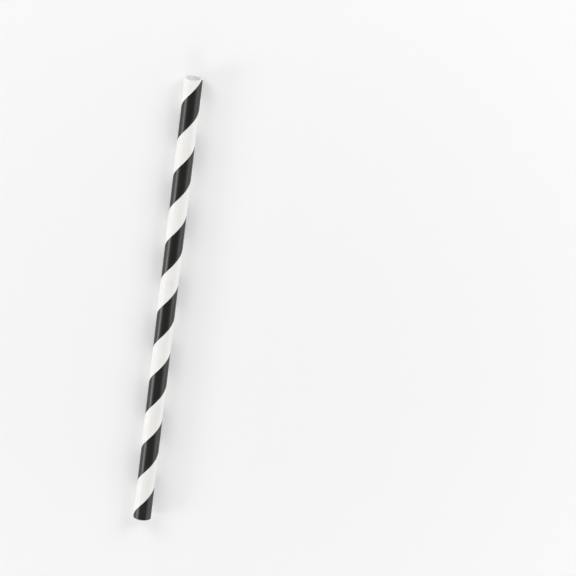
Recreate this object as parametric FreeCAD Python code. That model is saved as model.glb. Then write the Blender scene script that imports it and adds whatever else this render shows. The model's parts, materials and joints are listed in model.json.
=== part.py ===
import FreeCAD, Part
import math
import os

# Paper drinking straw, spirally wound from three strips of paper and cut square at both ends.
# It lies on its side along X, on Z = 0, with its middle over the origin.
# Its two helical seams are where a strip meets its own edge after one turn of the winding.

# Driving sizes, in millimetres
straw_length = 157.0
outside_diameter = 6.0

# Paper of the wall, from the outside in
cover_ply = 0.11
middle_ply = 0.16
lining_ply = 0.16

# Winding, right-handed: how far along the straw one turn of the strips takes them
winding_lead = 24.4

# Seams: the gap left between the two edges of a strip, at the surface where it shows
cover_seam_gap = 0.08
lining_seam_gap = 0.1

# Where each seam crosses the straw's top line, measured back from the +X end
cover_seam_from_end = 15.0
lining_seam_from_end = 12.0

# How far a cutting tool stands clear of what it cuts
tool_overrun = 0.5

# Sizes that follow
outside_radius = outside_diameter / 2
bore_radius = outside_radius - cover_ply - middle_ply - lining_ply
straw_end = straw_length / 2

centre = FreeCAD.Vector(0, 0, 0)
along_x = FreeCAD.Vector(1, 0, 0)
along_y = FreeCAD.Vector(0, 1, 0)
along_z = FreeCAD.Vector(0, 0, 1)


def wound_angle(radius):
    """Angle between a wound strip and the straw's axis at one radius, in radians."""
    return math.atan2(2 * math.pi * radius, winding_lead)


def rod(radius, length):
    """Round bar along X, centred on the origin."""
    return Part.makeCylinder(radius, length, FreeCAD.Vector(-length / 2, 0, 0), along_x)


def seam_rib(surface_radius, floor_radius, gap):
    """One turn of the helical rib that cuts a seam, wound along X from the origin."""
    clear_radius = surface_radius + math.copysign(tool_overrun, surface_radius - floor_radius)
    half_gap = gap / math.sin(wound_angle(surface_radius)) / 2
    corners = [
        FreeCAD.Vector(floor_radius, 0, -half_gap),
        FreeCAD.Vector(clear_radius, 0, -half_gap),
        FreeCAD.Vector(clear_radius, 0, half_gap),
        FreeCAD.Vector(floor_radius, 0, half_gap),
    ]
    path = Part.makeHelix(winding_lead, winding_lead, surface_radius)
    sweep = Part.BRepOffsetAPI.MakePipeShell(Part.Wire(path))
    sweep.setBiNormalMode(along_z)
    sweep.add(Part.makePolygon(corners + corners[:1]), False, False)
    sweep.build()
    sweep.makeSolid()
    rib = sweep.shape()
    rib.rotate(centre, along_y, 90)
    return rib


def cut_seam(wall, rib, from_end):
    """The wall with one seam cut from end to end, turn by turn."""
    crossing = straw_end - from_end
    first_turn = math.floor((-straw_end - crossing) / winding_lead)
    last_turn = math.ceil((straw_end - crossing) / winding_lead)
    for turn in range(first_turn, last_turn + 1):
        # A rib starts at the underside and comes to the top line half a turn later
        start = crossing + (turn - 0.5) * winding_lead
        wall = wall.cut(rib.translated(FreeCAD.Vector(start, 0, 0)))
    return wall


def paper_tube():
    """The straw's one piece, its wall open from end to end, lying on Z = 0."""
    wall = rod(outside_radius, straw_length).cut(rod(bore_radius, straw_length + 2 * tool_overrun))
    cover_rib = seam_rib(outside_radius, outside_radius - cover_ply, cover_seam_gap)
    lining_rib = seam_rib(bore_radius, bore_radius + lining_ply, lining_seam_gap)
    wall = cut_seam(wall, cover_rib, cover_seam_from_end)
    wall = cut_seam(wall, lining_rib, lining_seam_from_end)
    return wall.translated(FreeCAD.Vector(0, 0, outside_radius))


os.makedirs("parts", exist_ok=True)
straw = paper_tube()
straw.exportStep("parts/paper_tube.step")

strip_width = 2 * math.pi * outside_radius * math.cos(wound_angle(outside_radius))
print("paper_tube valid", straw.isValid(), "solids", len(straw.Solids), "faces", len(straw.Faces))
print("volume mm3", round(straw.Volume, 2), "bore radius mm", round(bore_radius, 3))
print("cover strip mm wide", round(strip_width, 2))
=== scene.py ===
import bpy
import json
import math
from mathutils import Matrix, Vector


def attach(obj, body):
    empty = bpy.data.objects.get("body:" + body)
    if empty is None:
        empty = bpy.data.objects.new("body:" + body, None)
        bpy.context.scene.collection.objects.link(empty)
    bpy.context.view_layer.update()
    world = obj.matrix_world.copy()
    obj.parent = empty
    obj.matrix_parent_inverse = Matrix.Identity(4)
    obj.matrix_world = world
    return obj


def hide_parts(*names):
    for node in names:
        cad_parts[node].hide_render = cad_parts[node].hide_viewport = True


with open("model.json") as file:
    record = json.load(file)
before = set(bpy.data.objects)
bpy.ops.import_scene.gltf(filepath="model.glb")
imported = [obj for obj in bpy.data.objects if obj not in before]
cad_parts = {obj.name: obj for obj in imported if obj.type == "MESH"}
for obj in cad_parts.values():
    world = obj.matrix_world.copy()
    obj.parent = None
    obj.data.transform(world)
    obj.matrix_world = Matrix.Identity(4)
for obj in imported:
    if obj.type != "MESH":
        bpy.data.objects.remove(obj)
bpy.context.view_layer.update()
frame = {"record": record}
scene = bpy.context.scene
scene.view_settings.view_transform = "Standard"

# Straw wall. Three strips of paper wound round a mandrel as a right-handed spiral, glued over their
# whole face and cut square at both ends. The outer strip is printed black over half its width, and
# its two edges meet in a hairline seam.
mounts = {mount["name"]: mount for mount in frame["record"]["mounts"]}
outside_radius = mounts["outside"]["dims"]["r_mm"] / 1000
bore_radius = mounts["bore"]["dims"]["r_mm"] / 1000
straw_end = mounts["bore"]["pos_m"][0]
axis_height = mounts["bore"]["pos_m"][2]
winding_lead = 0.0244
cover_ply = 0.00011
middle_ply = 0.00016
lining_ply = 0.00016
cover_seam_gap = 0.00005
lining_seam_gap = 0.0001
cover_seam_from_end = 0.015
lining_seam_from_end = 0.012
white_starts_from_end = 0.004
black_share = 0.5
steps_round = 96
field_pieces = 8
turns_wound = math.ceil(2 * straw_end / winding_lead) + 2

# Tolerances of the mesh work, all far finer than the paper
turn_weld = 0.000001
skin_weld = 0.0000005
cut_tolerance = 0.00000001
end_tolerance = 0.000002


def wound_angle(radius):
    """Angle between a wound strip and the straw's axis at one radius."""
    return math.atan2(2 * math.pi * radius, winding_lead)


def seam_start(from_end):
    """Where a seam crosses the top line, a turn or more before the -X end."""
    return straw_end - from_end - (turns_wound - 1) * winding_lead


def start_line(name, along, radius):
    """A mesh of one point over the straw's axis, left in edit mode with the point selected."""
    bpy.ops.object.select_all(action="DESELECT")
    bpy.ops.mesh.primitive_plane_add(size=0.001, location=(along, 0, radius))
    bpy.context.object.name = name
    bpy.ops.object.transform_apply(location=True, rotation=True, scale=True)
    bpy.ops.object.mode_set(mode="EDIT")
    bpy.ops.mesh.select_all(action="SELECT")
    bpy.ops.mesh.merge(type="CENTER")


def draw_on(along, outwards, pieces=1):
    """Draws the line on from its last point, in equal pieces."""
    for _ in range(pieces):
        bpy.ops.mesh.extrude_vertices_move(
            TRANSFORM_OT_translate={"value": (along / pieces, 0, outwards / pieces)}
        )


def wind(skin):
    """Winds a skin's one-turn line into a right-handed spiral longer than the straw."""
    bpy.ops.object.mode_set(mode="OBJECT")
    winding = skin.modifiers.new("winding", "SCREW")
    winding.axis = "X"
    winding.angle = 2 * math.pi
    winding.screw_offset = winding_lead
    winding.iterations = turns_wound
    winding.steps = steps_round
    winding.render_steps = steps_round
    winding.use_merge_vertices = True
    winding.merge_threshold = turn_weld
    bpy.ops.object.modifier_apply(modifier=winding.name)


def pick_end_edges(mesh, side):
    """Selects just the edges that lie in the cut at one end of the straw."""
    in_cut = [point.co.x * side > straw_end - end_tolerance for point in mesh.vertices]
    for element in (*mesh.vertices, *mesh.edges, *mesh.polygons):
        element.select = False
    for edge in mesh.edges:
        edge.select = all(in_cut[point] for point in edge.vertices)


# The outer skin, one turn of the cover strip: black from the seam on, the white field, black again
# up to the next seam, then the seam down to the strip below and up again.
cover_seam = seam_start(cover_seam_from_end)
cover_gap = cover_seam_gap / math.sin(wound_angle(outside_radius))
white_from_seam = cover_seam_from_end - white_starts_from_end
white_width = (1 - black_share) * winding_lead
start_line("straw_wall", cover_seam + cover_gap / 2, outside_radius)
straw_wall = bpy.context.object
draw_on(white_from_seam - cover_gap / 2, 0, field_pieces)
draw_on(white_width, 0, field_pieces)
draw_on(winding_lead - white_from_seam - white_width - cover_gap / 2, 0)
draw_on(0, -cover_ply)
draw_on(cover_gap, 0)
draw_on(0, cover_ply)
wind(straw_wall)

# The skin of the bore, one turn of the plain lining strip and its own seam.
lining_seam = seam_start(lining_seam_from_end)
lining_gap = lining_seam_gap / math.sin(wound_angle(bore_radius))
start_line("bore_skin", lining_seam + lining_gap / 2, bore_radius)
bore_skin = bpy.context.object
draw_on(winding_lead - lining_gap, 0, 2 * field_pieces)
draw_on(0, lining_ply)
draw_on(lining_gap, 0)
draw_on(0, -lining_ply)
wind(bore_skin)

# Both skins are cut square at the ends, and the cut faces of the paper close the wall.
bpy.ops.object.select_all(action="DESELECT")
bore_skin.select_set(True)
straw_wall.select_set(True)
bpy.context.view_layer.objects.active = straw_wall
bpy.ops.object.join()
bpy.ops.object.mode_set(mode="EDIT")
for side in (1, -1):
    bpy.ops.mesh.select_all(action="SELECT")
    bpy.ops.mesh.bisect(
        plane_co=(side * straw_end, 0, 0), plane_no=(side, 0, 0), clear_outer=True, threshold=cut_tolerance
    )
bpy.ops.mesh.select_all(action="SELECT")
bpy.ops.mesh.remove_doubles(threshold=skin_weld)
wall_mesh = straw_wall.data
for side in (1, -1):
    bpy.ops.object.mode_set(mode="OBJECT")
    pick_end_edges(wall_mesh, side)
    bpy.ops.object.mode_set(mode="EDIT")
    bpy.ops.mesh.fill(use_beauty=True)
bpy.ops.mesh.select_all(action="SELECT")
bpy.ops.mesh.normals_make_consistent(inside=False)
bpy.ops.transform.translate(value=(0, 0, axis_height))
bpy.ops.object.mode_set(mode="OBJECT")


def round_the_straw(point):
    """A point's angle round the axis from the top line, the way the strips turn, and its radius."""
    return math.atan2(-point.y, point.z - axis_height), math.hypot(point.y, point.z - axis_height)


# A map of the wound strips laid out flat, in metres: along the strip, then across it from its seam.
# The same map says which finish a face takes.
white_slot, black_slot, lining_slot, edge_slot, painted_shade_seam_slot = range(5)
strip_map = wall_mesh.uv_layers.new(name="wound_strip")
mid_wall = (outside_radius + bore_radius) / 2
for face in wall_mesh.polygons:
    turn_here, radius_here = round_the_straw(face.center)
    on_cover = radius_here > mid_wall
    seam = cover_seam if on_cover else lining_seam
    skin_radius = outside_radius if on_cover else bore_radius
    lean = wound_angle(skin_radius)
    turns_from_seam = (face.center.x - seam) / winding_lead - turn_here / (2 * math.pi)
    turn_here += 2 * math.pi * math.floor(turns_from_seam)
    from_seam = (turns_from_seam - math.floor(turns_from_seam)) * winding_lead
    if abs(face.normal.x) > 0.99 and abs(face.center.x) > straw_end - end_tolerance:
        face.material_index = edge_slot
    elif not on_cover:
        face.material_index = lining_slot
    # The groove of the cover's seam takes the dark seam finish, which is painted shade.
    elif radius_here < outside_radius - cover_ply / 3:
        face.material_index = painted_shade_seam_slot
    elif 0 < from_seam - white_from_seam < white_width:
        face.material_index = white_slot
    else:
        face.material_index = black_slot
    for corner in face.loop_indices:
        point = wall_mesh.vertices[wall_mesh.loops[corner].vertex_index].co
        turn, _ = round_the_straw(point)
        turn += 2 * math.pi * round((turn_here - turn) / (2 * math.pi))
        along_axis = point.x - seam
        strip_map.data[corner].uv = (
            skin_radius * turn * math.sin(lean) + along_axis * math.cos(lean),
            along_axis * math.sin(lean) - skin_radius * turn * math.cos(lean),
        )

# Paper's own look: fibres that lie mostly along the strip, the faint clouds of a sheet held to the
# light, and the fine tooth of its surface.
clouds_per_metre = 260
teeth_per_metre = 9000
noise_low = 0.3
noise_high = 0.7
paper_look = bpy.data.node_groups.new("paper_look", "ShaderNodeTree")
paper_look.interface.new_socket(name="Strip", in_out="INPUT", socket_type="NodeSocketVector")
paper_look.interface.new_socket(name="Fibre length", in_out="INPUT", socket_type="NodeSocketFloat")
paper_look.interface.new_socket(name="Fibre width", in_out="INPUT", socket_type="NodeSocketFloat")
paper_look.interface.new_socket(name="Fibres", in_out="OUTPUT", socket_type="NodeSocketFloat")
paper_look.interface.new_socket(name="Clouds", in_out="OUTPUT", socket_type="NodeSocketFloat")
paper_look.interface.new_socket(name="Tooth", in_out="OUTPUT", socket_type="NodeSocketFloat")
nodes, links = paper_look.nodes, paper_look.links
look_in = nodes.new("NodeGroupInput")
look_out = nodes.new("NodeGroupOutput")
split = nodes.new("ShaderNodeSeparateXYZ")
links.new(look_in.outputs["Strip"], split.inputs["Vector"])
along_fibre = nodes.new("ShaderNodeMath")
along_fibre.operation = "DIVIDE"
links.new(split.outputs["X"], along_fibre.inputs[0])
links.new(look_in.outputs["Fibre length"], along_fibre.inputs[1])
across_fibre = nodes.new("ShaderNodeMath")
across_fibre.operation = "DIVIDE"
links.new(split.outputs["Y"], across_fibre.inputs[0])
links.new(look_in.outputs["Fibre width"], across_fibre.inputs[1])
stretched = nodes.new("ShaderNodeCombineXYZ")
links.new(along_fibre.outputs["Value"], stretched.inputs["X"])
links.new(across_fibre.outputs["Value"], stretched.inputs["Y"])
fibres = nodes.new("ShaderNodeTexNoise")
fibres.inputs["Scale"].default_value = 1
fibres.inputs["Detail"].default_value = 3
fibres.inputs["Distortion"].default_value = 0.6
links.new(stretched.outputs["Vector"], fibres.inputs["Vector"])
links.new(fibres.outputs["Fac"], look_out.inputs["Fibres"])
clouds = nodes.new("ShaderNodeTexNoise")
clouds.inputs["Scale"].default_value = clouds_per_metre
clouds.inputs["Detail"].default_value = 3
links.new(look_in.outputs["Strip"], clouds.inputs["Vector"])
links.new(clouds.outputs["Fac"], look_out.inputs["Clouds"])
tooth = nodes.new("ShaderNodeTexNoise")
tooth.inputs["Scale"].default_value = teeth_per_metre
tooth.inputs["Detail"].default_value = 2
links.new(look_in.outputs["Strip"], tooth.inputs["Vector"])
links.new(tooth.outputs["Fac"], look_out.inputs["Tooth"])


def paper(name, dark, light, rough, rougher, relief, specular, fibre_length, fibre_width):
    """A paper finish between two tints and two roughnesses, with its fibres standing up by relief."""
    finish = bpy.data.materials.new(name)
    finish.use_nodes = True
    nodes, links = finish.node_tree.nodes, finish.node_tree.links
    surface = nodes["Principled BSDF"]
    surface.inputs["Specular IOR Level"].default_value = specular
    strip = nodes.new("ShaderNodeUVMap")
    strip.uv_map = "wound_strip"
    look = nodes.new("ShaderNodeGroup")
    look.node_tree = paper_look
    look.inputs["Fibre length"].default_value = fibre_length
    look.inputs["Fibre width"].default_value = fibre_width
    links.new(strip.outputs["UV"], look.inputs["Strip"])
    both = nodes.new("ShaderNodeMath")
    both.operation = "ADD"
    links.new(look.outputs["Fibres"], both.inputs[0])
    links.new(look.outputs["Clouds"], both.inputs[1])
    half = nodes.new("ShaderNodeMath")
    half.operation = "MULTIPLY"
    half.inputs[1].default_value = 0.5
    links.new(both.outputs["Value"], half.inputs[0])
    tint = nodes.new("ShaderNodeValToRGB")
    tint.color_ramp.elements[0].position = noise_low
    tint.color_ramp.elements[0].color = (*dark, 1)
    tint.color_ramp.elements[1].position = noise_high
    tint.color_ramp.elements[1].color = (*light, 1)
    links.new(half.outputs["Value"], tint.inputs["Fac"])
    links.new(tint.outputs["Color"], surface.inputs["Base Color"])
    polish = nodes.new("ShaderNodeMapRange")
    polish.inputs["From Min"].default_value = noise_low
    polish.inputs["From Max"].default_value = noise_high
    polish.inputs["To Min"].default_value = rough
    polish.inputs["To Max"].default_value = rougher
    links.new(look.outputs["Fibres"], polish.inputs["Value"])
    links.new(polish.outputs["Result"], surface.inputs["Roughness"])
    height = nodes.new("ShaderNodeMath")
    height.operation = "MULTIPLY_ADD"
    height.inputs[1].default_value = 0.5
    links.new(look.outputs["Tooth"], height.inputs[0])
    links.new(look.outputs["Fibres"], height.inputs[2])
    bump = nodes.new("ShaderNodeBump")
    bump.inputs["Strength"].default_value = 1
    bump.inputs["Distance"].default_value = relief
    links.new(height.outputs["Value"], bump.inputs["Height"])
    links.new(bump.outputs["Normal"], surface.inputs["Normal"])
    return finish


# The white field is smooth coated paper. The black one is satin ink, which closes the paper's grain.
white_field = paper(
    "white_cover_paper",
    dark=(0.80, 0.79, 0.765),
    light=(0.85, 0.845, 0.825),
    rough=0.42,
    rougher=0.55,
    relief=0.000002,
    specular=0.35,
    fibre_length=0.0016,
    fibre_width=0.0001,
)
black_field = paper(
    "black_ink",
    dark=(0.005, 0.005, 0.0043),
    light=(0.0075, 0.0075, 0.0064),
    rough=0.36,
    rougher=0.42,
    relief=0.000002,
    specular=0.5,
    fibre_length=0.0012,
    fibre_width=0.00014,
)

# The lining is uncoated. The raw paper in the seam of the cover is painted dark grey, as painted shade for
# the deep narrow groove.
lining = paper(
    "lining_paper",
    dark=(0.79, 0.78, 0.76),
    light=(0.84, 0.835, 0.815),
    rough=0.6,
    rougher=0.75,
    relief=0.000004,
    specular=0.3,
    fibre_length=0.0013,
    fibre_width=0.00008,
)
# Its dark grey tints are painted shade for the deep narrow groove, not the paper's own colour.
seam_paper_painted_shade = paper(
    "seam_paper_painted_shade",
    dark=(0.20, 0.19, 0.175),
    light=(0.28, 0.27, 0.25),
    rough=0.8,
    rougher=0.9,
    relief=0.000004,
    specular=0.2,
    fibre_length=0.0016,
    fibre_width=0.0001,
)

# The cut ends are raw paper with its fibres end on, so its look lies across the straw there. The
# two glue lines between the three plies show as thin darker rings.
glue_line = 0.00002
cut_edge = paper(
    "cut_edge",
    dark=(0.78, 0.77, 0.75),
    light=(0.88, 0.875, 0.86),
    rough=0.8,
    rougher=0.9,
    relief=0.000008,
    specular=0.2,
    fibre_length=0.00012,
    fibre_width=0.00007,
)
nodes, links = cut_edge.node_tree.nodes, cut_edge.node_tree.links
on_straw = nodes.new("ShaderNodeTexCoord")
across_cut = nodes.new("ShaderNodeSeparateXYZ")
links.new(on_straw.outputs["Object"], across_cut.inputs["Vector"])
on_cut = nodes.new("ShaderNodeCombineXYZ")
links.new(across_cut.outputs["Y"], on_cut.inputs["X"])
links.new(across_cut.outputs["Z"], on_cut.inputs["Y"])
links.new(on_cut.outputs["Vector"], nodes["Group"].inputs["Strip"])
nodes.remove(nodes["UV Map"])
from_axis = nodes.new("ShaderNodeVectorMath")
from_axis.operation = "MULTIPLY_ADD"
from_axis.inputs[1].default_value = (0, 1, 1)
from_axis.inputs[2].default_value = (0, 0, -axis_height)
links.new(on_straw.outputs["Object"], from_axis.inputs[0])
radius = nodes.new("ShaderNodeVectorMath")
radius.operation = "LENGTH"
links.new(from_axis.outputs["Vector"], radius.inputs[0])
rings = nodes.new("ShaderNodeMath")
rings.operation = "MAXIMUM"
for into, glued_at in enumerate((bore_radius + lining_ply, bore_radius + lining_ply + middle_ply)):
    ring = nodes.new("ShaderNodeMath")
    ring.operation = "COMPARE"
    ring.inputs[1].default_value = glued_at
    ring.inputs[2].default_value = glue_line / 2
    links.new(radius.outputs["Value"], ring.inputs[0])
    links.new(ring.outputs["Value"], rings.inputs[into])
edge_surface = nodes["Principled BSDF"]
plain_edge = edge_surface.inputs["Base Color"].links[0].from_socket
glued = nodes.new("ShaderNodeMix")
glued.data_type = "RGBA"
glued.inputs["B"].default_value = (0.42, 0.40, 0.36, 1)
links.new(rings.outputs["Value"], glued.inputs["Factor"])
links.new(plain_edge, glued.inputs["A"])
links.new(glued.outputs["Result"], edge_surface.inputs["Base Color"])

# The finishes go on in the order of their slots, and the wall stands for the solid one.
for finish in (white_field, black_field, lining, cut_edge, seam_paper_painted_shade):
    wall_mesh.materials.append(finish)
bpy.ops.object.select_all(action="DESELECT")
straw_wall.select_set(True)
bpy.context.view_layer.objects.active = straw_wall
bpy.ops.object.shade_smooth_by_angle(angle=math.radians(30))
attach(straw_wall, "root")
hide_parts("paper_tube")

# Floor. A plain white sweep, flat under the straw and turned up into a low wall all round far
# beyond it. It keeps the straw's soft shadow, and glows into plain white further out.
floor_reach = 3
floor_turn_up = 0.5
floor_wall = 0.6
turn_up_angles = (15, 30, 45, 60, 75, 90)
glow_grows_from = 0.02
glow_is_full_at = 0.3
glow_near_straw = 0.3
bpy.ops.object.select_all(action="DESELECT")
bpy.ops.mesh.primitive_circle_add(vertices=128, radius=floor_reach, fill_type="NGON")
floor = bpy.context.object
floor.name = "floor"
bpy.ops.object.mode_set(mode="EDIT")
bpy.ops.mesh.select_all(action="SELECT")
bpy.ops.mesh.region_to_loop()
bent_so_far = 0
for bend in turn_up_angles:
    rise = floor_turn_up * (math.cos(math.radians(bent_so_far)) - math.cos(math.radians(bend)))
    run = floor_turn_up * (math.sin(math.radians(bend)) - math.sin(math.radians(bent_so_far)))
    reach = floor_reach + floor_turn_up * math.sin(math.radians(bent_so_far))
    wider = (reach + run) / reach
    bpy.ops.mesh.extrude_edges_move(TRANSFORM_OT_translate={"value": (0, 0, rise)})
    bpy.ops.transform.resize(value=(wider, wider, 1), center_override=(0, 0, 0))
    bent_so_far = bend
bpy.ops.mesh.extrude_edges_move(TRANSFORM_OT_translate={"value": (0, 0, floor_wall)})
bpy.ops.mesh.select_all(action="SELECT")
bpy.ops.mesh.normals_make_consistent(inside=True)
bpy.ops.object.mode_set(mode="OBJECT")
floor_paint = bpy.data.materials.new("floor_paint")
floor_paint.use_nodes = True
nodes, links = floor_paint.node_tree.nodes, floor_paint.node_tree.links
board = nodes["Principled BSDF"]
board.inputs["Base Color"].default_value = (0.86, 0.86, 0.86, 1)
board.inputs["Roughness"].default_value = 0.9
board.inputs["Specular IOR Level"].default_value = 0.1
glow = nodes.new("ShaderNodeEmission")
glow.inputs["Color"].default_value = (1, 1, 1, 1)
glow.inputs["Strength"].default_value = 1
ray = nodes.new("ShaderNodeLightPath")
seen = ray.outputs["Is Camera Ray"]
for kind in ("Is Glossy Ray", "Is Transmission Ray"):
    either = nodes.new("ShaderNodeMath")
    either.operation = "MAXIMUM"
    links.new(seen, either.inputs[0])
    links.new(ray.outputs[kind], either.inputs[1])
    seen = either.outputs["Value"]
on_floor = nodes.new("ShaderNodeTexCoord")
away = nodes.new("ShaderNodeVectorMath")
away.operation = "LENGTH"
links.new(on_floor.outputs["Object"], away.inputs[0])
fade = nodes.new("ShaderNodeMapRange")
fade.interpolation_type = "SMOOTHSTEP"
fade.inputs["From Min"].default_value = glow_grows_from
fade.inputs["From Max"].default_value = glow_is_full_at
fade.inputs["To Min"].default_value = glow_near_straw
fade.inputs["To Max"].default_value = 1
links.new(away.outputs["Value"], fade.inputs["Value"])
white_share = nodes.new("ShaderNodeMath")
white_share.operation = "MULTIPLY"
links.new(seen, white_share.inputs[0])
links.new(fade.outputs["Result"], white_share.inputs[1])
floor_mix = nodes.new("ShaderNodeMixShader")
links.new(white_share.outputs["Value"], floor_mix.inputs["Fac"])
links.new(board.outputs["BSDF"], floor_mix.inputs[1])
links.new(glow.outputs["Emission"], floor_mix.inputs[2])
links.new(floor_mix.outputs["Shader"], nodes["Material Output"].inputs["Surface"])
floor.data.materials.append(floor_paint)

# Light. Five soft boxes stand round the straw in a dim white room: a low one far out on each side,
# which draws a long highlight down the ink, two higher ones beyond the +X end and a wide one beyond
# the other.
room = bpy.data.worlds.new("room")
scene.world = room
room.use_nodes = True
room.node_tree.nodes["Background"].inputs["Color"].default_value = (1, 1, 1, 1)
room.node_tree.nodes["Background"].inputs["Strength"].default_value = 0.14


def soft_box(name, place, width, height, power):
    """A rectangular lamp at place, turned towards the middle of the straw."""
    lamp = bpy.data.lights.new(name, "AREA")
    lamp.shape = "RECTANGLE"
    lamp.size = width
    lamp.size_y = height
    lamp.energy = power
    holder = bpy.data.objects.new(name, lamp)
    scene.collection.objects.link(holder)
    holder.location = place
    holder.rotation_euler = (-Vector(place)).to_track_quat("-Z", "Y").to_euler()


soft_box("left_box", place=(-0.34, 0.88, 0.33), width=0.4, height=0.2, power=4.2)
soft_box("right_box", place=(-0.34, -0.92, 0.3), width=1.2, height=0.55, power=3.4)
soft_box("end_left_box", place=(0.8, 0.75, 0.65), width=0.6, height=0.6, power=8)
soft_box("end_right_box", place=(0.8, -0.75, 0.65), width=0.6, height=0.6, power=9)
soft_box("far_box", place=(-1.2, 0, 0.6), width=0.9, height=0.9, power=7)

# Camera. A long lens looks down on the lying straw from beyond its +X end, so that this end is
# uppermost in the picture and shows a little way into the bore. The shift of half a pixel puts the
# target on the middle of a pixel.
camera_place = Vector((0.4622, 0.0, 1.25559))
camera_target = Vector((0.00976, -0.03952, 0.003))
camera_roll = 0.128
picture_pixels = 576
camera_data = bpy.data.cameras.new("camera")
camera_data.lens = 250
camera_data.shift_x = -0.5 / picture_pixels
camera_data.shift_y = 0.5 / picture_pixels
camera_data.clip_end = 20
camera = bpy.data.objects.new("camera", camera_data)
scene.collection.objects.link(camera)
scene.camera = camera
look_along = (camera_target - camera_place).normalized()
level_right = look_along.cross(Vector((1, 0, 0))).normalized()
level_up = level_right.cross(look_along)
picture_right = math.cos(camera_roll) * level_right + math.sin(camera_roll) * level_up
picture_up = math.cos(camera_roll) * level_up - math.sin(camera_roll) * level_right
camera.matrix_world = Matrix.Translation(camera_place) @ Matrix(
    (picture_right, picture_up, -look_along)
).transposed().to_4x4()
